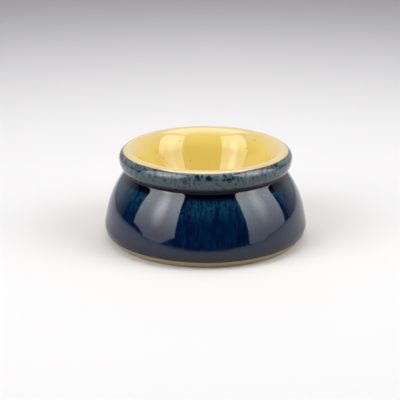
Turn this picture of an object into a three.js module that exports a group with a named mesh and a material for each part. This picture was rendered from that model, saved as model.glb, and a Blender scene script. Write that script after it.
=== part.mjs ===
// A low, wide shaving mug in glazed stoneware: one thrown clay body, and the coats of glaze fused to it.
// Every piece is a body of revolution. Millimetres, +Z up the axis, origin at the centre of the foot.
import * as THREE from "three";

// Overall size of the glazed mug
const WIDEST_DIAMETER = 120;
const HEIGHT = 54.1;
const GLAZE = 0.5; // thickness of every coat
const SEGMENTS = 60; // round the axis

// Foot: a turned ring, left bare where the mug stood on the kiln shelf
const FOOT_RADIUS = 55.4;
const FOOT_CHAMFER = 0.4;
const FOOT_RING_WIDTH = 5;
const RECESS_DEPTH = 3.5;
const RECESS_DRAFT = 1; // how much narrower the recess is at its ceiling
const BASE_COAT_MARGIN = 1.5; // wiped clean round the coat in the recess

// Outside of the clay, from the foot up to the crown of the lip
const WALL_RADIUS = WIDEST_DIAMETER / 2 - GLAZE;
const WIDEST_Z = 8.9;
const SHOULDER_RADIUS = 57;
const SHOULDER_Z = 21;
const SHOULDER_LEAN = THREE.MathUtils.degToRad(16.5); // inwards from upright
const NECK_RADIUS = 47;
const NECK_Z = 40.6;
const BEAD_RADIUS = 50.4;
const BEAD_Z = 49;
const CROWN_RADIUS = 45.6;
const CROWN_Z = HEIGHT - GLAZE;

// Inside of the clay, from the crown down to the floor
const THROAT_RADIUS = 36;
const THROAT_Z = 42;
const THROAT_LEAN = THREE.MathUtils.degToRad(19); // inwards on the way down
const FLOOR_RADIUS = 12;
const FLOOR_Z = 11;

// How far each curve runs straight on from its lower or outer end, and from its other end
const WALL_PULL = [0.8, 4];
const SHOULDER_PULL = [12.3, 0.9];
const BEAD_PULL = [1.2, 5.4];
const LIP_PULL = [2.3, 2.1];
const THROAT_PULL = [3.1, 6.4];
const BOWL_PULL = [12, 11];
const FOOT_PULL = 4.2;

// How many stations each curve is cut into, and where on them a coat ends
const STEPS = { foot: 7, wall: 4, shoulder: 6, bead: 5, lip: 5, throat: 6, bowl: 8 };
const FOOT_LINE = 3; // the foot's station up to which the glaze was wiped off
const COLOUR_LINE = 3; // the lip's station where the inside colour takes over

const at = (radius, z) => new THREE.Vector2(radius, z);
const UP = at(0, 1);
const INWARDS = at(-1, 0);
const LEANING = at(-Math.sin(SHOULDER_LEAN), Math.cos(SHOULDER_LEAN));
const TAPERING = at(-Math.sin(THROAT_LEAN), -Math.cos(THROAT_LEAN));

// A curve that leaves its start along one direction and reaches its end along another.
function sweep(start, leaving, end, arriving, [startPull, endPull]) {
  return new THREE.CubicBezierCurve(
    start,
    start.clone().addScaledVector(leaving, startPull),
    end.clone().addScaledVector(arriving, -endPull),
    end,
  );
}

// Points on the clay along a curve, each with the direction that faces away from the clay.
function stations(curve, steps) {
  const made = [];
  for (let i = 0; i <= steps; i++) {
    const along = curve.getTangent(i / steps);
    made.push({ clay: curve.getPoint(i / steps), out: at(along.y, -along.x) });
  }
  return made;
}

// Joins stretches end to end. The station where two meet is kept once, from the first.
function joined(...stretches) {
  return stretches.flatMap((stretch, i) => (i ? stretch.slice(1) : stretch));
}

// The flare of the foot, from its chamfered edge out to the widest girth.
function footFlare() {
  const widest = at(WALL_RADIUS, WIDEST_Z);
  const pulled = at(WALL_RADIUS, WIDEST_Z - FOOT_PULL);
  const flare = new THREE.QuadraticBezierCurve(at(FOOT_RADIUS, FOOT_CHAMFER), pulled, widest);
  return stations(flare, STEPS.foot);
}

// The wall leans in from the widest girth, then rolls over the shoulder into the neck.
function outerWall() {
  const widest = at(WALL_RADIUS, WIDEST_Z);
  const shoulder = at(SHOULDER_RADIUS, SHOULDER_Z);
  const neck = at(NECK_RADIUS, NECK_Z);
  return joined(
    stations(sweep(widest, UP, shoulder, LEANING, WALL_PULL), STEPS.wall),
    stations(sweep(shoulder, LEANING, neck, UP, SHOULDER_PULL), STEPS.shoulder),
  );
}

// The underside of the rolled bead, from the neck out to its widest.
function beadUnderside() {
  const bead = at(BEAD_RADIUS, BEAD_Z);
  return stations(sweep(at(NECK_RADIUS, NECK_Z), UP, bead, UP, BEAD_PULL), STEPS.bead);
}

// The bead's upper side, rounding over to the crown of the lip.
function lipRound() {
  const crown = at(CROWN_RADIUS, CROWN_Z);
  return stations(sweep(at(BEAD_RADIUS, BEAD_Z), UP, crown, INWARDS, LIP_PULL), STEPS.lip);
}

// Over the lip into the throat, down the tapering bowl and across its floor.
function innerWall() {
  const crown = at(CROWN_RADIUS, CROWN_Z);
  const throat = at(THROAT_RADIUS, THROAT_Z);
  const floor = at(FLOOR_RADIUS, FLOOR_Z);
  return joined(
    stations(sweep(crown, INWARDS, throat, TAPERING, THROAT_PULL), STEPS.throat),
    stations(sweep(throat, TAPERING, floor, INWARDS, BOWL_PULL), STEPS.bowl),
    stations(new THREE.LineCurve(floor, at(0, FLOOR_Z)), 1),
  );
}

// The underside of the clay, from the axis out across the recess and the flat foot ring.
const RING_OUTER = FOOT_RADIUS - FOOT_CHAMFER;
const RING_INNER = RING_OUTER - FOOT_RING_WIDTH;
const RECESS_RADIUS = RING_INNER - RECESS_DRAFT;
const underside = [
  at(0, RECESS_DEPTH),
  at(RECESS_RADIUS, RECESS_DEPTH),
  at(RING_INNER, 0),
  at(RING_OUTER, 0),
];

// Spins a closed outline about the axis and stands it up along +Z.
function spun(name, outline, finish) {
  const geometry = new THREE.LatheGeometry(outline, SEGMENTS).rotateX(Math.PI / 2);
  const mesh = new THREE.Mesh(geometry, new THREE.MeshStandardMaterial(finish));
  mesh.name = name;
  return mesh;
}

// A coat of glaze: its back lies on the clay, and its face stands off it by the coat's thickness.
function coat(name, along, finish) {
  const face = along.map(({ clay, out }) => clay.clone().addScaledVector(out, GLAZE));
  const back = along.map(({ clay }) => clay).reverse();
  const reachesAxis = back[0].x === 0;
  return spun(name, reachesAxis ? [...back, ...face] : [...face, ...back, face[0]], finish);
}

const foot = footFlare();
const wall = outerWall();
const bead = beadUnderside();
const lip = lipRound();
const inside = innerWall();

function stonewareBody() {
  const skin = joined(foot, wall, bead, lip, inside).map(({ clay }) => clay);
  return spun("stoneware_body", [...underside, ...skin], { color: 0xa08f70, roughness: 0.75 });
}

function bodyGlaze() {
  const along = joined(foot.slice(FOOT_LINE), wall);
  return coat("body_glaze", along, { color: 0x062443, roughness: 0.08 });
}

function rimGlaze() {
  const along = joined(wall.slice(-1), bead, lip.slice(0, COLOUR_LINE + 1));
  return coat("rim_glaze", along, { color: 0x3f5a68, roughness: 0.12 });
}

function linerGlaze() {
  const along = joined(lip.slice(COLOUR_LINE), inside);
  return coat("liner_glaze", along, { color: 0xe3c25c, roughness: 0.1 });
}

// A thin flat coat on the ceiling of the recess, clear of the ring that the mug stands on.
function baseGlaze() {
  const rim = RECESS_RADIUS - BASE_COAT_MARGIN;
  const outline = [
    at(0, RECESS_DEPTH - GLAZE),
    at(rim - GLAZE, RECESS_DEPTH - GLAZE),
    at(rim, RECESS_DEPTH),
    at(0, RECESS_DEPTH),
  ];
  return spun("base_glaze", outline, { color: 0x9c8b63, roughness: 0.15 });
}

const mug = new THREE.Group();
mug.add(stonewareBody(), bodyGlaze(), rimGlaze(), linerGlaze(), baseGlaze());

export default mug;
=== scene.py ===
import math

import bpy
import numpy as np
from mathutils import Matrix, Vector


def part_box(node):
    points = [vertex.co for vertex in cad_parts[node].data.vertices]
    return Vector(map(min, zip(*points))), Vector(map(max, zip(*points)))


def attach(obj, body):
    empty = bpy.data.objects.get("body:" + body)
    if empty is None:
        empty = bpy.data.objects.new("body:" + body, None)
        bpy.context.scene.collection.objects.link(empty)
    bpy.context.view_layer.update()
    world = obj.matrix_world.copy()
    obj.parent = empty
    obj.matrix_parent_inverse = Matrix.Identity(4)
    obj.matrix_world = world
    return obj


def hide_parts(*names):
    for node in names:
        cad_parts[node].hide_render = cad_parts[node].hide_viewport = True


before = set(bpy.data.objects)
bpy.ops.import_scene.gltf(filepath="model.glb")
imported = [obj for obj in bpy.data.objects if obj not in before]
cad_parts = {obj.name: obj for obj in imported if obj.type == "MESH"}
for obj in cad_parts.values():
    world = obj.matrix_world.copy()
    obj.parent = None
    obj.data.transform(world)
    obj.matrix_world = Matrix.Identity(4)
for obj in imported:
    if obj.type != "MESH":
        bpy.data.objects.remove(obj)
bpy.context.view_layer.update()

MM = 0.001  # the outline below is in millimetres, and every Blender object in metres

# The glazed mug, whose width and height come from the frame
LOWEST, HIGHEST = (np.array(corner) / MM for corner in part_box("body_glaze"))
WIDEST_RADIUS = (HIGHEST[0] - LOWEST[0]) / 2
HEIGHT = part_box("liner_glaze")[1].z / MM
GLAZE = 0.5

# The clay's foot: a turned ring round a shallow recess
FOOT_RADIUS = 55.4
FOOT_CHAMFER = 0.4
FOOT_RING_WIDTH = 5.0
RECESS_DEPTH = 3.5
RECESS_DRAFT = 1.0
TURNED_ROUND = 0.25  # how far from each of its corners the ring starts to round off
BASE_COAT_MARGIN = 1.5

# The clay's outside and inside
WALL_RADIUS = WIDEST_RADIUS - GLAZE
WIDEST_Z = 8.9
SHOULDER = (57.0, 21.0)
SHOULDER_LEAN = math.radians(16.5)
NECK = (47.0, 40.6)
BEAD = (50.4, 49.0)
CROWN = (45.6, HEIGHT - GLAZE)
THROAT = (36.0, 42.0)
THROAT_LEAN = math.radians(19)
FLOOR = (12.0, 11.0)

# How far each curve runs straight on from its start and from its end
FOOT_PULL = 4.2
WALL_PULL = (0.8, 4.0)
SHOULDER_PULL = (12.3, 0.9)
BEAD_PULL = (1.2, 5.4)
LIP_PULL = (2.3, 2.1)
THROAT_PULL = (3.1, 6.4)
BOWL_PULL = (12.0, 11.0)

# How far up their curves the glaze was wiped off the foot, and the colour changes on the lip
FOOT_WIPED = 3 / 7
COLOUR_CHANGE = 3 / 5

# The hand of the potter
RING_PITCH = 4.6  # from one throwing line to the next
RING_DEPTH = 0.003
RING_EVENNESS = 0.6  # the rest of a throwing line's depth comes and goes
RING_FADING = 17.0  # over this distance along the skin
RING_FADING_PHASE = 1.3
RING_WAVER = 0.9  # how far a throwing line drifts round the mug, in radians
WOBBLE = 0.05
WOBBLE_LENGTHS = (27.0, 41.0)
CALM_FOOT = 4.0  # the relief fades out over these distances, at the foot and round the bowl's centre
CALM_CENTRE = 20.0
TOOL_MARK_PITCH = 1.9
TOOL_MARK_DEPTH = 0.02
FOOT_LINE_WANDER = 0.22
COLOUR_LINE_WANDER = 0.24
BASE_COAT_WANDER = 0.5
BASE_COAT_EDGE = 1.5  # how far in from its edge the coat wanders with it
BASE_COAT_WAVE = 0.06  # height of the slow waves on its face
BASE_COAT_WAVE_LENGTH = 5.0  # for each radian of a wave
BASE_COAT_ROUND = 0.15
BASE_COAT_TUCK = 0.2  # how much narrower its back is than its edge
ROLL_WIDTH = 0.9  # how far the glaze thins towards its wiped edge
ROLL_SWELL = 0.12  # the fat roll that gathers just above it
ROLL_REACH = 2.2
SINK = 0.12  # how far the back of a coat lies inside the clay

# The meshes
SEGMENTS = 300
FINE_STEP = 0.42
COARSE_STEP = 1.6
CLOSE_STEPS = np.array((0.04, 0.1, 0.18, 0.28, 0.4, 0.55, 0.72, 0.9))  # rows beside a coat's two ends
CURVE_SAMPLES = 240
CORNER_SAMPLES = 12
WRAP_RADIUS = 55.0  # of the cylinder that the flow coordinates lay the skin on
SEED = 46

UP = np.array((0.0, 1.0))
INWARDS = np.array((-1.0, 0.0))
LEANING = np.array((-math.sin(SHOULDER_LEAN), math.cos(SHOULDER_LEAN)))
TAPERING = np.array((-math.sin(THROAT_LEAN), -math.cos(THROAT_LEAN)))


# ------------------------------------------------------------------------------------------- outline


def bezier(controls, samples=CURVE_SAMPLES):
    """Points along a Bezier curve of any order, by repeated interpolation."""
    t = np.linspace(0, 1, samples)[:, None]
    points = [np.broadcast_to(np.array(c, float), (samples, 2)) for c in controls]
    while len(points) > 1:
        points = [a * (1 - t) + b * t for a, b in zip(points, points[1:])]
    return points[0]


def sweep(start, leaving, end, arriving, pulls):
    """A curve that leaves start along one direction and reaches end along another."""
    start, end = np.array(start), np.array(end)
    return bezier((start, start + leaving * pulls[0], end - arriving * pulls[1], end))


def joined(*stretches):
    """Stretches put end to end. The point where two meet is kept once."""
    return np.concatenate([stretches[0]] + [stretch[1:] for stretch in stretches[1:]])


class Outline:
    """A line in the (radius, z) plane, read by the distance along it. Its normal is on its right."""

    def __init__(self, points):
        self.points = points
        steps = np.linalg.norm(np.diff(points, axis=0), axis=1)
        self.run = np.concatenate(([0.0], np.cumsum(steps)))
        self.length = self.run[-1]
        tangent = np.gradient(points, self.run, axis=0)
        tangent /= np.linalg.norm(tangent, axis=1)[:, None]
        self.normal = np.stack((tangent[:, 1], -tangent[:, 0]), axis=1)

    def at(self, distance):
        """Position and unit normal at each of these distances."""
        values = [
            np.interp(distance, self.run, column)
            for column in (*self.points.T, *self.normal.T)
        ]
        return np.stack(values[:2], axis=-1), np.stack(values[2:], axis=-1)


foot_edge = (FOOT_RADIUS, FOOT_CHAMFER)
foot_curve = bezier((foot_edge, (WALL_RADIUS, WIDEST_Z - FOOT_PULL), (WALL_RADIUS, WIDEST_Z)))
wall_curve = sweep((WALL_RADIUS, WIDEST_Z), UP, SHOULDER, LEANING, WALL_PULL)
shoulder_curve = sweep(SHOULDER, LEANING, NECK, UP, SHOULDER_PULL)
bead_curve = sweep(NECK, UP, BEAD, UP, BEAD_PULL)
lip_curve = sweep(BEAD, UP, CROWN, INWARDS, LIP_PULL)
throat_curve = sweep(CROWN, INWARDS, THROAT, TAPERING, THROAT_PULL)
bowl_curve = sweep(THROAT, TAPERING, FLOOR, INWARDS, BOWL_PULL)
floor_line = bezier((FLOOR, (0.0, FLOOR[1])))

outer = (foot_curve, wall_curve, shoulder_curve, bead_curve, lip_curve)
inner = (throat_curve, bowl_curve, floor_line)
skin = Outline(joined(*outer, *inner))


def distance_to(*stretches, part=1.0):
    """How far along the skin the end of these stretches is, or a part of the way through the last."""
    whole = [Outline(stretch).length for stretch in stretches]
    return sum(whole[:-1]) + Outline(stretches[-1][: int(len(stretches[-1]) * part)]).length


FOOT_LINE = distance_to(foot_curve, part=FOOT_WIPED)
NECK_LINE = distance_to(foot_curve, wall_curve, shoulder_curve)
COLOUR_LINE = distance_to(*outer, part=COLOUR_CHANGE)

# ------------------------------------------------------------------------------------- surface relief

around = np.arange(SEGMENTS) * 2 * math.pi / SEGMENTS
chance = np.random.default_rng(SEED)


def wander(harmonics, falloff):
    """A smooth wave that closes round the axis, up to 1 high.

    The harmonics say how often each of its parts repeats, and the falloff how fast they weaken.
    """
    total = np.zeros(SEGMENTS)
    for order in harmonics:
        total += np.cos(order * around + chance.uniform(0, 2 * math.pi)) / order**falloff
    return total / np.abs(total).max()


foot_line = FOOT_LINE + FOOT_LINE_WANDER * wander(range(2, 26), falloff=0.8)
colour_line = COLOUR_LINE + COLOUR_LINE_WANDER * wander(range(2, 60), falloff=0.7)
slow_waves = [
    (wander((2, 3), falloff=1.0), length, chance.uniform(0, 2 * math.pi))
    for length in WOBBLE_LENGTHS
]
ring_waver = RING_WAVER * wander((1, 2, 3, 5), falloff=1.0)


def eased(value, low, high):
    """0 below low, 1 above high, and smooth between."""
    t = np.clip((value - low) / (high - low), 0, 1)
    return t * t * (3 - 2 * t)


def relief(distance):
    """How far the thrown surface stands off the true outline, at a grid of distances along the skin."""
    height = np.zeros_like(distance)
    for wave, length, phase in slow_waves:
        height += WOBBLE / 2 * wave * np.cos(2 * math.pi * distance / length + phase)
    turn = 2 * math.pi * distance / RING_PITCH + around + ring_waver
    fading = np.cos(2 * math.pi * distance / RING_FADING + RING_FADING_PHASE)
    height += RING_DEPTH * (RING_EVENNESS + (1 - RING_EVENNESS) * fading) * np.cos(turn)
    return height * eased(distance, 0, CALM_FOOT) * eased(skin.length - distance, 0, CALM_CENTRE)


def all_round(values):
    """Each of these values, repeated at every angle."""
    return np.asarray(values)[..., None] + np.zeros(SEGMENTS)


def spun(radius, z):
    """The (row, segment, xyz) points at these radii and heights."""
    xyz = np.broadcast_arrays(radius * np.cos(around), radius * np.sin(around), z)
    return np.stack(xyz, axis=-1)


def placed(distance, height):
    """The (row, segment, xyz) points that stand at a height off the skin."""
    point, normal = skin.at(distance)
    radius, z = np.moveaxis(point + normal * (relief(distance) + height)[..., None], -1, 0)
    return spun(radius, z)


# ---------------------------------------------------------------------------------------- lathe work


def turned(name, rows, flow, edge, sharp_rows=(), closes=False):
    """A closed mesh from rows of points round the axis. Rows run so that outward is on their right.

    The first and last rows join each other if it closes, and otherwise each ends in a point on the axis.
    flow is each point's distance along the skin. edge is its distance from where its coat ends, or on the
    clay from where the bare foot ends.
    """
    count = len(rows)
    points = rows.reshape(-1, 3)
    here = np.arange(count * SEGMENTS).reshape(count, SEGMENTS)
    beside = np.roll(here, -1, axis=1)
    faces = np.stack((here[:-1], beside[:-1], beside[1:], here[1:]), axis=-1).reshape(-1, 4).tolist()
    flow, edge = flow.reshape(-1), edge.reshape(-1)
    if closes:
        faces += np.stack((here[-1], beside[-1], beside[0], here[0]), axis=-1).tolist()
    else:
        first, last = len(points), len(points) + 1
        tips = [(0, 0, rows[row, :, 2].mean()) for row in (0, -1)]
        points = np.concatenate((points, tips))
        faces += [(first, b, a) for a, b in zip(here[0].tolist(), beside[0].tolist())]
        faces += [(last, a, b) for a, b in zip(here[-1].tolist(), beside[-1].tolist())]
        flow, edge = (np.append(values, (values[0], values[-1])) for values in (flow, edge))
    mesh = bpy.data.meshes.new(name)
    mesh.from_pydata((points * MM).tolist(), [], faces)
    mesh.polygons.foreach_set("use_smooth", np.ones(len(mesh.polygons), bool))
    crease(mesh, sharp_rows)
    angle = np.arctan2(points[:, 1], points[:, 0])
    circle = WRAP_RADIUS * np.stack((np.cos(angle), np.sin(angle)), axis=1)
    store(mesh, "flow", "FLOAT_VECTOR", "vector", np.column_stack((circle, flow)))
    store(mesh, "edge", "FLOAT", "value", edge)
    mesh.update()
    piece = bpy.data.objects.new(name, mesh)
    bpy.context.scene.collection.objects.link(piece)
    return piece


def store(mesh, name, kind, field, values):
    """Keeps a value at every point of the mesh, where its material reads it."""
    layer = mesh.attributes.new(name, kind, "POINT")
    layer.data.foreach_set(field, np.asarray(values, np.float32).reshape(-1))


def crease(mesh, rows):
    """Marks the edges that run along these rows as sharp."""
    ends = np.zeros(len(mesh.edges) * 2, int)
    mesh.edges.foreach_get("vertices", ends)
    row_of = ends.reshape(-1, 2) // SEGMENTS
    along_row = (row_of[:, 0] == row_of[:, 1]) & np.isin(row_of[:, 0], rows)
    mesh.attributes.new("sharp_edge", "BOOLEAN", "EDGE").data.foreach_set("value", along_row)


def rolled(distance):
    """The height of a coat at a distance from its wiped edge. It rises steeply, then swells in a roll."""
    rise = np.clip(distance / ROLL_WIDTH, 0, 1)
    thickness = (GLAZE + SINK) * np.sqrt(1 - (1 - rise) ** 2) - SINK
    swell = eased(distance, 0, ROLL_WIDTH) * (1 - eased(distance, ROLL_WIDTH, ROLL_WIDTH + ROLL_REACH))
    return thickness + ROLL_SWELL * swell


def coat(name, start, end, edge_at_end=False, wiped=False, reaches_axis=False):
    """A coat of glaze between two lines round the mug, each a distance along the skin at every angle."""
    length = float(np.mean(end - start))
    marks = np.concatenate((np.arange(0, length, FINE_STEP), CLOSE_STEPS, length - CLOSE_STEPS, [length]))
    face_share = np.unique(np.round(marks, 3)) / length
    back_share = np.linspace(1, 0, int(length / COARSE_STEP))
    if reaches_axis:
        face_share, back_share = face_share[:-1], back_share[1:]
    share = np.concatenate((back_share, face_share))[:, None]
    distance = start + share * (end - start)
    height = np.full_like(distance, GLAZE)
    if wiped:
        height = rolled(distance - start)
    height[: len(back_share)] = -SINK
    edge = end - distance if edge_at_end else distance - start
    sharp = [0, len(back_share) - 1, len(back_share), len(share) - 1]
    return turned(name, placed(distance, height), distance, edge, sharp, closes=not reaches_axis)


def softened(corners, reach):
    """A line through these corners, where each but the two ends is rounded off from this far on."""
    corners = np.array(corners, float)
    start = corners[0]
    pieces = []
    for before, corner, after in zip(corners, corners[1:], corners[2:]):
        into = corner + (before - corner) / np.linalg.norm(before - corner) * reach
        out = corner + (after - corner) / np.linalg.norm(after - corner) * reach
        pieces.append(bezier((start, into), CORNER_SAMPLES))
        pieces.append(bezier((into, corner, out), CORNER_SAMPLES))
        start = out
    pieces.append(bezier((start, corners[-1]), CORNER_SAMPLES))
    return joined(*pieces)


def clay_body():
    """The fired clay: the underside, the bare foot, and the wall that lies under the coats."""
    ring_outer = FOOT_RADIUS - FOOT_CHAMFER
    ring_inner = ring_outer - FOOT_RING_WIDTH
    corners = (
        (0.0, RECESS_DEPTH),
        (ring_inner - RECESS_DRAFT, RECESS_DEPTH),
        (ring_inner, 0.0),
        (ring_outer, 0.0),
        (FOOT_RADIUS, FOOT_CHAMFER),
    )
    under = Outline(softened(corners, TURNED_ROUND))
    marks = np.arange(FINE_STEP, under.length, FINE_STEP)
    radius, z = under.at(marks)[0].T
    scratches = TOOL_MARK_DEPTH * np.cos(2 * math.pi * marks / TOOL_MARK_PITCH)
    z = z + scratches * (z > RECESS_DEPTH / 2)
    underside = spun(radius[:, None], z[:, None])
    hidden = FOOT_LINE + 2  # from here on a coat covers the clay
    bare = np.arange(0, hidden, FINE_STEP / 2)
    covered = np.arange(hidden, skin.length - COARSE_STEP, COARSE_STEP)
    distance = all_round(np.concatenate((bare, covered)))
    rows = np.concatenate((underside, placed(distance, np.zeros_like(distance))))
    flow = np.concatenate((all_round(marks - under.length), distance))
    return turned("clay_body", rows, flow, edge=foot_line - flow)


def base_coat():
    """The thin coat on the ceiling of the recess, with slow waves on its face and a wandering edge."""
    rim = FOOT_RADIUS - FOOT_CHAMFER - FOOT_RING_WIDTH - RECESS_DRAFT - BASE_COAT_MARGIN
    back, face = RECESS_DEPTH + SINK, RECESS_DEPTH - GLAZE
    corners = (
        (0.0, face),
        (rim - GLAZE, face),
        (rim, RECESS_DEPTH),
        (rim - BASE_COAT_TUCK, back),
        (0.0, back),
    )
    line = Outline(softened(corners, BASE_COAT_ROUND))
    edge_starts, edge_ends = rim - 2, rim + 1.2  # the stretch of the line that takes the finest rows
    slope_starts = face + 0.1
    marks = np.concatenate((
        np.arange(FINE_STEP, edge_starts, 2 * FINE_STEP),
        np.arange(edge_starts, edge_ends, FINE_STEP / 3),
        np.arange(edge_ends, line.length, COARSE_STEP),
    ))
    radius, z = line.at(marks)[0].T[..., None]
    near_edge = eased(radius, rim - BASE_COAT_EDGE, rim)
    wandered = radius + near_edge * BASE_COAT_WANDER * wander(range(2, 24), falloff=0.8)
    waves = np.cos(radius / BASE_COAT_WAVE_LENGTH) * wander((1, 2, 3), falloff=1.0)
    rows = spun(wandered, z + BASE_COAT_WAVE * waves * (z < slope_starts))
    flow = all_round(marks)
    return turned("base_coat", rows, flow, edge=rim - flow)


# ------------------------------------------------------------------------------------------ materials


# The Mix node's colour sockets, which share their names with its number sockets
MIX_A, MIX_B, MIX_RESULT = 6, 7, 2


class Finish:
    """A material's nodes. Most methods add one and give back the socket that it ends in."""

    def __init__(self, name, **fixed):
        self.material = bpy.data.materials.new(name)
        self.material.use_nodes = True
        self.tree = self.material.node_tree
        self.shader = self.tree.nodes["Principled BSDF"]
        for socket, value in fixed.items():
            self.shader.inputs[socket.replace("_", " ")].default_value = value
        self.colour = None
        self.normal = None

    def node(self, kind, *inputs, **settings):
        made = self.tree.nodes.new("ShaderNode" + kind)
        for setting, value in settings.items():
            setattr(made, setting, value)
        for socket, value in inputs:
            self.feed(made.inputs[socket], value)
        return made

    def feed(self, socket, value):
        if isinstance(value, bpy.types.NodeSocket):
            self.tree.links.new(value, socket)
        else:
            socket.default_value = value

    def stored(self, name, output="Fac"):
        return self.node("Attribute", attribute_name=name).outputs[output]

    def place(self):
        """Where a point is, in metres from the centre of the foot."""
        return self.node("TexCoord").outputs["Object"]

    def one_axis(self, vector, axis):
        return self.node("SeparateXYZ", (0, vector)).outputs[axis]

    def flow(self, across, along):
        """The skin laid on a cylinder, scaled so that a noise cell is so many millimetres wide and long."""
        size = (1 / across, 1 / across, 1 / along)
        laid = self.stored("flow", "Vector")
        return self.node("VectorMath", (0, laid), (1, size), operation="MULTIPLY").outputs[0]

    def noise(self, vector, detail=2.0, roughness=0.5, distortion=0.0):
        settings = (("Vector", vector), ("Scale", 1.0), ("Detail", detail))
        settings += (("Roughness", roughness), ("Distortion", distortion))
        return self.node("TexNoise", *settings).outputs["Fac"]

    def cells(self, vector):
        """The distance to the nearest of many scattered points."""
        return self.node("TexVoronoi", ("Vector", vector), ("Scale", 1.0)).outputs["Distance"]

    def sums(self, operation, a, b=0.0, c=0.0):
        return self.node("Math", (0, a), (1, b), (2, c), operation=operation).outputs[0]

    def between(self, value, low, high):
        """0 at low and 1 at high, with a smooth run between; falls instead if low is above high."""
        run = (("Value", value), ("From Min", low), ("From Max", high))
        return self.node("MapRange", *run, interpolation_type="SMOOTHSTEP").outputs["Result"]

    def spread(self, value, least, most):
        """Runs straight from least to most as the value goes from 0 to 1."""
        return self.sums("MULTIPLY_ADD", value, most - least, least)

    def mix(self, amount, a, b):
        made = self.node("Mix", data_type="RGBA")
        self.feed(made.inputs["Factor"], amount)
        self.feed(made.inputs[MIX_A], opaque(a))
        self.feed(made.inputs[MIX_B], opaque(b))
        return made.outputs[MIX_RESULT]

    def tint(self, amount, towards, most=1.0):
        """Takes the colour towards another, by an amount of 0 to 1 that is scaled by most."""
        if most < 1:
            amount = self.sums("MULTIPLY", amount, most)
        self.colour = self.mix(amount, self.colour, towards)

    def bump(self, height, depth):
        """Raises the surface by a height of 0 to 1, times a depth in millimetres."""
        settings = [("Height", height), ("Distance", depth * MM)]
        if self.normal:
            settings.append(("Normal", self.normal))
        self.normal = self.node("Bump", *settings).outputs["Normal"]

    def done(self, roughness):
        self.feed(self.shader.inputs["Base Color"], self.colour)
        self.feed(self.shader.inputs["Roughness"], roughness)
        self.feed(self.shader.inputs["Normal"], self.normal)
        return self.material


def opaque(colour):
    """A colour given as red, green and blue, with full alpha. A socket is left as it is."""
    return (*colour, 1.0) if isinstance(colour, tuple) else colour


# Colours in linear light. A pair is the two ends of a mixture.
NAVY = ((0.0002, 0.0035, 0.021), (0.0005, 0.010, 0.032))
TEAL = ((0.0006, 0.0120, 0.040), (0.0075, 0.046, 0.074))
NAVY_SPOTS = (0.0005, 0.003, 0.02)
NAVY_PATCHES = (0.0004, 0.005, 0.025)
NAVY_CLOUDS = (0.001, 0.008, 0.03)
# Painted shade: the navy darkened towards the foot
NAVY_SHADED_AT_FOOT = (0.0003, 0.0008, 0.009)
# Glaze pooled thick under the bead, darkened further with painted shade
NAVY_POOLED_AND_SHADED_AT_NECK = (0.0003, 0.0004, 0.005)
SLATE = ((0.018, 0.038, 0.054), (0.070, 0.104, 0.116))
SLATE_PATCHES = (0.036, 0.056, 0.066)
SLATE_PALER_AT_TOP = (0.11, 0.14, 0.14)
# Painted shade: the lower half of the roll darkened
SLATE_SHADED_LOWER = (0.018, 0.034, 0.048)
# Painted shade under the roll
SLATE_SHADED_UNDERSIDE = (0.020, 0.020, 0.028)
# Glaze pooled where the roll meets the neck, darkened further with painted shade
SLATE_POOLED_AND_SHADED_AT_NECK = (0.004, 0.004, 0.012)
RUNS = (0.008, 0.020, 0.036)
BLOTS = (0.002, 0.008, 0.024)
FLECKS = (0.004, 0.008, 0.020)
SPECKS = (0.004, 0.010, 0.026)
OLIVE = (0.09, 0.075, 0.035)
YELLOW = ((0.585, 0.432, 0.092), (0.62, 0.462, 0.112))
YELLOW_GRAIN = (0.53, 0.37, 0.08)
CREAM = (0.50, 0.39, 0.19)
YELLOW_EDGE = (0.3, 0.26, 0.12)
YELLOW_SPECKS = (0.15, 0.09, 0.03)
BUFF = ((0.34, 0.265, 0.15), (0.42, 0.33, 0.20))
GROG = (0.18, 0.13, 0.07)
IRON = (0.07, 0.04, 0.02)
TOASTED = (0.14, 0.09, 0.045)
STRAW = ((0.36, 0.29, 0.15), (0.48, 0.40, 0.22))
STRAW_GRAIN = (0.25, 0.18, 0.09)
STRAW_SPECKS = (0.08, 0.05, 0.025)


def dark_blue_glaze():
    """Navy glaze that breaks to teal where it runs thin below the neck, in fine vertical streaks."""
    finish = Finish("dark_blue_glaze_surface", IOR=1.52)
    z = finish.sums("MULTIPLY", finish.one_axis(finish.place(), "Z"), 1 / MM)
    streaks = finish.noise(finish.flow(1.2, 7.5))
    mottle = finish.noise(finish.flow(1.6, 2.8), detail=3.0, roughness=0.6, distortion=0.3)
    grain = finish.mix(finish.between(z, 22.0, 39.0), streaks, mottle)
    deep = finish.mix(finish.between(z, 18.0, 36.0), *NAVY)
    bright = finish.mix(finish.between(z, 24.0, 37.0), *TEAL)
    finish.colour = finish.mix(finish.between(grain, 0.36, 0.64), deep, bright)
    spots = finish.between(finish.noise(finish.flow(1.9, 4.2), detail=1.0, distortion=0.5), 0.58, 0.74)
    above_foot = finish.between(z, 12.0, 24.0)
    finish.tint(finish.sums("MULTIPLY", spots, above_foot), NAVY_SPOTS)
    patches = finish.between(finish.noise(finish.flow(3.6, 10.0), distortion=0.4), 0.52, 0.66)
    finish.tint(patches, NAVY_PATCHES)
    clouds = finish.between(finish.noise(finish.flow(19.0, 15.0)), 0.4, 0.7)
    finish.tint(clouds, NAVY_CLOUDS, most=0.3)
    # Painted shade: darker towards the foot, where the floor that the glaze reflects lies in shadow.
    foot_shade = finish.between(finish.stored("edge"), 9.0, 2.0)
    finish.tint(foot_shade, NAVY_SHADED_AT_FOOT)
    # Darker just under the bead: glaze pooled in the neck, and painted shade.
    neck_pool_and_shade = finish.between(z, 36.0, 38.8)
    finish.tint(neck_pool_and_shade, NAVY_POOLED_AND_SHADED_AT_NECK)
    finish.bump(finish.noise(finish.flow(4.0, 5.0), detail=1.0), 0.012)
    wear = finish.noise(finish.flow(7.0, 9.0), detail=3.0)
    return finish.done(roughness=finish.spread(wear, 0.02, 0.08))


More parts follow.
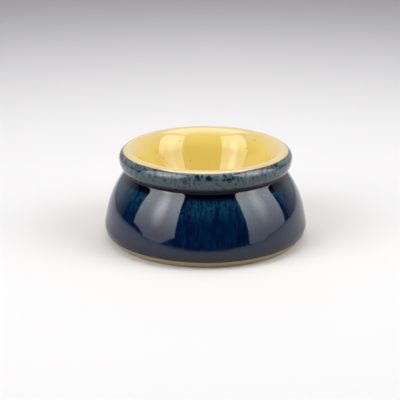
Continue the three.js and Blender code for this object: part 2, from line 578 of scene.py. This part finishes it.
def grey_blue_glaze():
    """Lighter grey-blue over the roll of the rim, streaked and flecked with navy."""
    finish = Finish("grey_blue_glaze_surface", IOR=1.52)
    below_lip = finish.stored("edge")
    mottle = finish.noise(finish.flow(1.5, 3.4), detail=3.0, roughness=0.6, distortion=0.4)
    finish.colour = finish.mix(finish.between(mottle, 0.38, 0.62), *SLATE)
    patches = finish.between(finish.noise(finish.flow(4.5, 5.0)), 0.45, 0.7)
    finish.tint(patches, SLATE_PATCHES)
    # Paler towards the top of the roll.
    finish.tint(finish.between(below_lip, 3.6, 1.2), SLATE_PALER_AT_TOP, most=0.45)
    # Painted shade: the lower half of the roll darkened, in place of a weaker reflection of the floor.
    finish.tint(finish.between(below_lip, 3.0, 8.0), SLATE_SHADED_LOWER, most=0.45)
    # Painted shade under the roll.
    finish.tint(finish.between(below_lip, 7.5, 10.5), SLATE_SHADED_UNDERSIDE)
    # Darkest where the roll meets the neck: pooled glaze, and painted shade.
    finish.tint(finish.between(below_lip, 10.5, 13.0), SLATE_POOLED_AND_SHADED_AT_NECK)
    runs = finish.between(finish.noise(finish.flow(1.6, 4.5), detail=1.0, distortion=0.5), 0.62, 0.72)
    finish.tint(runs, RUNS, most=0.8)
    ragged = finish.noise(finish.flow(1.0, 1.0), detail=1.0)
    blots = finish.sums("MULTIPLY_ADD", ragged, 0.3, finish.cells(finish.flow(6.5, 4.4)))
    upper = finish.between(below_lip, 7.5, 6.0)
    finish.tint(finish.sums("MULTIPLY", finish.between(blots, 0.44, 0.41), upper), BLOTS)
    flecks = finish.between(finish.cells(finish.flow(2.3, 1.8)), 0.36, 0.25)
    top = finish.between(below_lip, 4.5, 0.4)
    finish.tint(finish.sums("MULTIPLY", flecks, top), FLECKS)
    specks = finish.between(finish.cells(finish.flow(2.9, 3.3)), 0.34, 0.26)
    finish.tint(specks, SPECKS, most=0.85)
    ragged_line = finish.spread(finish.noise(finish.flow(0.8, 0.8)), 0.2, 1.7)
    finish.tint(finish.between(below_lip, ragged_line, 0.05), OLIVE)
    finish.bump(finish.noise(finish.flow(3.0, 3.4), detail=1.0), 0.014)
    wear = finish.noise(finish.flow(5.0, 5.0), detail=3.0)
    return finish.done(roughness=finish.spread(wear, 0.06, 0.16))


def yellow_glaze():
    """Pale yellow glaze, thinner and creamier where it breaks over the crown of the lip."""
    finish = Finish("yellow_glaze_surface", IOR=1.5)
    from_edge = finish.stored("edge")
    clouds = finish.noise(finish.flow(14.0, 12.0), detail=3.0)
    finish.colour = finish.mix(clouds, *YELLOW)
    grain = finish.noise(finish.flow(1.2, 2.0), detail=3.0)
    finish.tint(grain, YELLOW_GRAIN, most=0.18)
    thinned = finish.between(from_edge, 15.0, 1.5)
    finish.tint(thinned, CREAM)
    ragged_line = finish.spread(finish.noise(finish.flow(0.9, 0.9)), -0.15, 0.75)
    finish.tint(finish.between(from_edge, ragged_line, 0.0), YELLOW_EDGE)
    specks = finish.between(finish.cells(finish.flow(7.5, 7.5)), 0.085, 0.055)
    finish.tint(specks, YELLOW_SPECKS, most=0.85)
    finish.bump(finish.noise(finish.flow(2.6, 3.0)), 0.014)
    pinholes = finish.between(finish.cells(finish.flow(2.4, 2.4)), 0.14, 0.05)
    finish.bump(pinholes, -0.02)
    wear = finish.noise(finish.flow(6.0, 7.0), detail=3.0)
    return finish.done(roughness=finish.spread(wear, 0.03, 0.11))


def bare_stoneware():
    """Buff fired clay with fine grog, iron specks and the marks of the turning tool."""
    finish = Finish("bare_stoneware_surface", IOR=1.45)
    clouds = finish.noise(finish.flow(9.0, 5.0), detail=3.0)
    finish.colour = finish.mix(clouds, *BUFF)
    grog = finish.noise(finish.flow(0.5, 0.5), detail=4.0, roughness=0.7)
    finish.tint(grog, GROG, most=0.4)
    specks = finish.between(finish.cells(finish.flow(1.6, 1.6)), 0.12, 0.06)
    finish.tint(specks, IRON)
    beside_glaze = finish.between(finish.stored("edge"), 0.6, 0.0)
    finish.tint(beside_glaze, TOASTED, most=0.5)
    tooling = finish.noise(finish.flow(16.0, 0.45))
    finish.bump(tooling, 0.06)
    finish.bump(grog, 0.05)
    return finish.done(roughness=finish.spread(grog, 0.6, 0.85))


def base_glaze():
    """Thin straw-coloured glaze that shows the clay through it."""
    finish = Finish("base_glaze_surface", IOR=1.5)
    clouds = finish.noise(finish.flow(12.0, 6.0), detail=4.0)
    finish.colour = finish.mix(clouds, *STRAW)
    grain = finish.noise(finish.flow(0.8, 0.8), detail=3.0)
    finish.tint(grain, STRAW_GRAIN, most=0.35)
    specks = finish.between(finish.cells(finish.flow(3.0, 3.0)), 0.1, 0.05)
    finish.tint(specks, STRAW_SPECKS)
    finish.bump(finish.noise(finish.flow(3.0, 3.0)), 0.02)
    return finish.done(roughness=finish.spread(grain, 0.12, 0.27))


def fit(piece, node, material):
    """Puts a finished piece in the place of its CAD node."""
    piece.data.materials.append(material)
    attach(piece, "root")
    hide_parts(node)


neck_line = all_round(NECK_LINE)
floor_end = all_round(skin.length)
outer_coat = coat("outer_coat", foot_line, neck_line, wiped=True)
rim_coat = coat("rim_coat", neck_line, colour_line, edge_at_end=True)
liner_coat = coat("liner_coat", colour_line, floor_end, reaches_axis=True)
fit(clay_body(), "stoneware_body", bare_stoneware())
fit(outer_coat, "body_glaze", dark_blue_glaze())
fit(rim_coat, "rim_glaze", grey_blue_glaze())
fit(liner_coat, "liner_glaze", yellow_glaze())
fit(base_coat(), "base_glaze", base_glaze())


# ---------------------------------------------------------------------------------------------- stage

AIM = np.array((-3.3, 0.0, 21.4)) * MM
CAMERA_DISTANCE = 0.8
CAMERA_ELEVATION = math.radians(18.688)
LENS, SENSOR = 121.04, 36.0

FLOOR_REACH = 3.0
FLOOR_DROP = 0.02 * MM  # keeps the floor's face clear of the foot's
SWEEP_RADIUS = 1.3
SWEEP_HEIGHT = 1.2
SWEEP_AZIMUTHS = (108, 252)
SWEEP_PANELS = 16

SOFTBOX_REACH = 0.95
SOFTBOX_HEIGHT = 1.4
SOFTBOX_DIMMEST = 0.22  # the radiance at its foot, as a share of the radiance at its top
OVERHEAD_LEFT, OVERHEAD_RIGHT = -0.5, 0.5
OVERHEAD_FRONT, OVERHEAD_BACK = -0.36, 0.5
OVERHEAD_HEIGHT = 1.05
OVERHEAD_RADIANCE = 4.3
OVERHEAD_DIMMEST = 0.3
LAMP = (0.5, 0.45, 0.38)  # where a lamp stands behind its panel, as a share of the panel's box
LAMP_REACH = 0.32
LAMP_COLOUR = (0.98, 0.99, 1.0)

PAPER_SURFACE = {"Roughness": 0.9, "Specular_IOR_Level": 0.1}
PAPER_WITH_FALLOFF_SHADE = ((0.588, 0.575, 0.570), (0.306, 0.298, 0.320))  # round the mug, and far from it, where the grey is painted shade for light falling off
PAPER_NEAR_WITH_BOUNCE = (0.600, 0.579, 0.556)  # under and beside the mug, warmer: painted bounce light from the clay
# Painted shade on the floor in front, out of the camera's sight
PAPER_SHADED_IN_FRONT = (0.08, 0.08, 0.09)
BACKDROP = ((0.03, 0.03, 0.032), (0.74, 0.72, 0.72))  # at its two ends, and at its back
ROOM_DIM = (0.006, 0.006, 0.007)
ROOM_SEEN = (0.5, 0.49, 0.5)


def sheet_of(name, corners, material, camera=True):
    """A flat panel that stands round the mug and isn't part of it."""
    mesh = bpy.data.meshes.new(name)
    mesh.from_pydata([tuple(c) for c in corners], [], [tuple(range(len(corners)))])
    mesh.materials.append(material)
    panel = bpy.data.objects.new(name, mesh)
    panel.visible_camera = camera
    bpy.context.scene.collection.objects.link(panel)


def paper_floor():
    """Pale paper, with painted light and shade: greyer far from the mug, where the light falls off, warmer
    beside it, for bounce light from the clay, and dark in front of the part of it that the camera sees.
    """
    finish = Finish("floor_paper", **PAPER_SURFACE)
    reach = finish.node("VectorMath", (0, finish.place()), operation="LENGTH").outputs["Value"]
    # The grey far from the mug is painted shade, for light that falls off with distance.
    finish.colour = finish.mix(finish.between(reach, 0.15, 0.95), *PAPER_WITH_FALLOFF_SHADE)
    # Painted bounce light: the paper warmer under and beside the mug.
    finish.tint(finish.between(reach, 0.13, 0.06), PAPER_NEAR_WITH_BOUNCE)
    # Painted shade: the floor dark in front, out of the camera's sight, so the mug's lower side reflects it
    # dark.
    finish.tint(finish.between(finish.one_axis(finish.place(), "Y"), -0.24, -0.8), PAPER_SHADED_IN_FRONT)
    finish.feed(finish.shader.inputs["Base Color"], finish.colour)
    square = ((-1, -1), (1, -1), (1, 1), (-1, 1))
    corners = [(x * FLOOR_REACH, y * FLOOR_REACH, -FLOOR_DROP) for x, y in square]
    sheet_of("floor", corners, finish.material)


def sweep_wall():
    """A pale curved wall round the back of the stage."""
    paper = Finish("backdrop_paper", **PAPER_SURFACE)
    backwards = paper.between(paper.one_axis(paper.place(), "Y"), 0.2, 0.95)
    paper.feed(paper.shader.inputs["Base Color"], paper.mix(backwards, *BACKDROP))
    turns = np.radians(np.linspace(*SWEEP_AZIMUTHS, SWEEP_PANELS + 1))
    feet = [(SWEEP_RADIUS * math.sin(a), -SWEEP_RADIUS * math.cos(a)) for a in turns]
    for i, ((x0, y0), (x1, y1)) in enumerate(zip(feet, feet[1:])):
        corners = ((x0, y0, 0), (x1, y1, 0), (x1, y1, SWEEP_HEIGHT), (x0, y0, SWEEP_HEIGHT))
        sheet_of(f"backdrop_{i}", corners, paper.material)


def glowing(name, radiance, axis, dimmest, hot=0.0):
    """A panel's light, which grows from its dimmest share to its full radiance along one of its axes.

    hot is how much brighter it is again where its lamp stands close behind it.
    """
    finish = Finish(name)
    across = finish.node("TexCoord").outputs["Generated"]
    rise = finish.between(finish.one_axis(across, axis), -0.1, 0.6)
    strength = finish.spread(rise, radiance * dimmest, radiance)
    from_lamp = finish.node("VectorMath", (0, across), (1, LAMP), operation="DISTANCE").outputs["Value"]
    near_lamp = finish.between(from_lamp, LAMP_REACH, 0.0)
    strength = finish.sums("MULTIPLY_ADD", near_lamp, radiance * hot, strength)
    finish.tree.nodes.remove(finish.shader)
    glow = finish.node("Emission", ("Color", opaque(LAMP_COLOUR)), ("Strength", strength))
    finish.tree.links.new(glow.outputs[0], finish.tree.nodes["Material Output"].inputs["Surface"])
    return finish.material


def softbox(name, azimuths, radiance, hot, cut):
    """An upright panel of light between two azimuths. Azimuth 0 is towards the camera, and + is right.

    cut is how much of its width and height its lower corners lose.
    """
    (x0, y0), (x1, y1) = [
        (math.sin(a) * SOFTBOX_REACH, -math.cos(a) * SOFTBOX_REACH)
        for a in map(math.radians, azimuths)
    ]
    across, up = cut
    outline = ((across, 0), (1 - across, 0), (1, up), (1, 1), (0, 1), (0, up))
    corners = [(x0 + (x1 - x0) * u, y0 + (y1 - y0) * u, SOFTBOX_HEIGHT * v) for u, v in outline]
    sheet_of(name, corners, glowing(name + "_light", radiance, "Z", SOFTBOX_DIMMEST, hot), camera=False)


def overhead_softbox():
    """A level panel of light over the mug, brightest towards the back."""
    left_to_right = (OVERHEAD_LEFT, OVERHEAD_RIGHT, OVERHEAD_RIGHT, OVERHEAD_LEFT)
    front_to_back = (OVERHEAD_FRONT, OVERHEAD_FRONT, OVERHEAD_BACK, OVERHEAD_BACK)
    corners = [(x, y, OVERHEAD_HEIGHT) for x, y in zip(left_to_right, front_to_back)]
    light = glowing("softbox_top_light", OVERHEAD_RADIANCE, "Y", OVERHEAD_DIMMEST)
    sheet_of("softbox_top", corners, light, camera=False)


def dim_room():
    """Pale where the camera looks past the stage, and dim in reflections and shade."""
    world = bpy.data.worlds.new("room")
    bpy.context.scene.world = world
    world.use_nodes = True
    nodes, links = world.node_tree.nodes, world.node_tree.links
    seen = nodes.new("ShaderNodeLightPath").outputs["Is Camera Ray"]
    tone = nodes.new("ShaderNodeMix")
    tone.data_type = "RGBA"
    tone.inputs[MIX_A].default_value = opaque(ROOM_DIM)
    tone.inputs[MIX_B].default_value = opaque(ROOM_SEEN)
    links.new(seen, tone.inputs["Factor"])
    links.new(tone.outputs[MIX_RESULT], nodes["Background"].inputs["Color"])


def camera():
    """Looks at the mug from in front and above."""
    data = bpy.data.cameras.new("camera")
    data.lens, data.sensor_width = LENS, SENSOR
    eye = bpy.data.objects.new("camera", data)
    back = np.array((0.0, -math.cos(CAMERA_ELEVATION), math.sin(CAMERA_ELEVATION)))
    eye.location = AIM + back * CAMERA_DISTANCE
    eye.rotation_euler = (math.pi / 2 - CAMERA_ELEVATION, 0.0, 0.0)
    bpy.context.scene.collection.objects.link(eye)
    bpy.context.scene.camera = eye


paper_floor()
sweep_wall()
softbox("softbox_left", azimuths=(-34, -88), radiance=4.9, hot=0.95, cut=(0.32, 0.07))
softbox("softbox_right", azimuths=(48, 100), radiance=5.0, hot=0.5, cut=(0.02, 0.01))
overhead_softbox()
dim_room()
camera()
bpy.context.scene.view_settings.view_transform = "Standard"
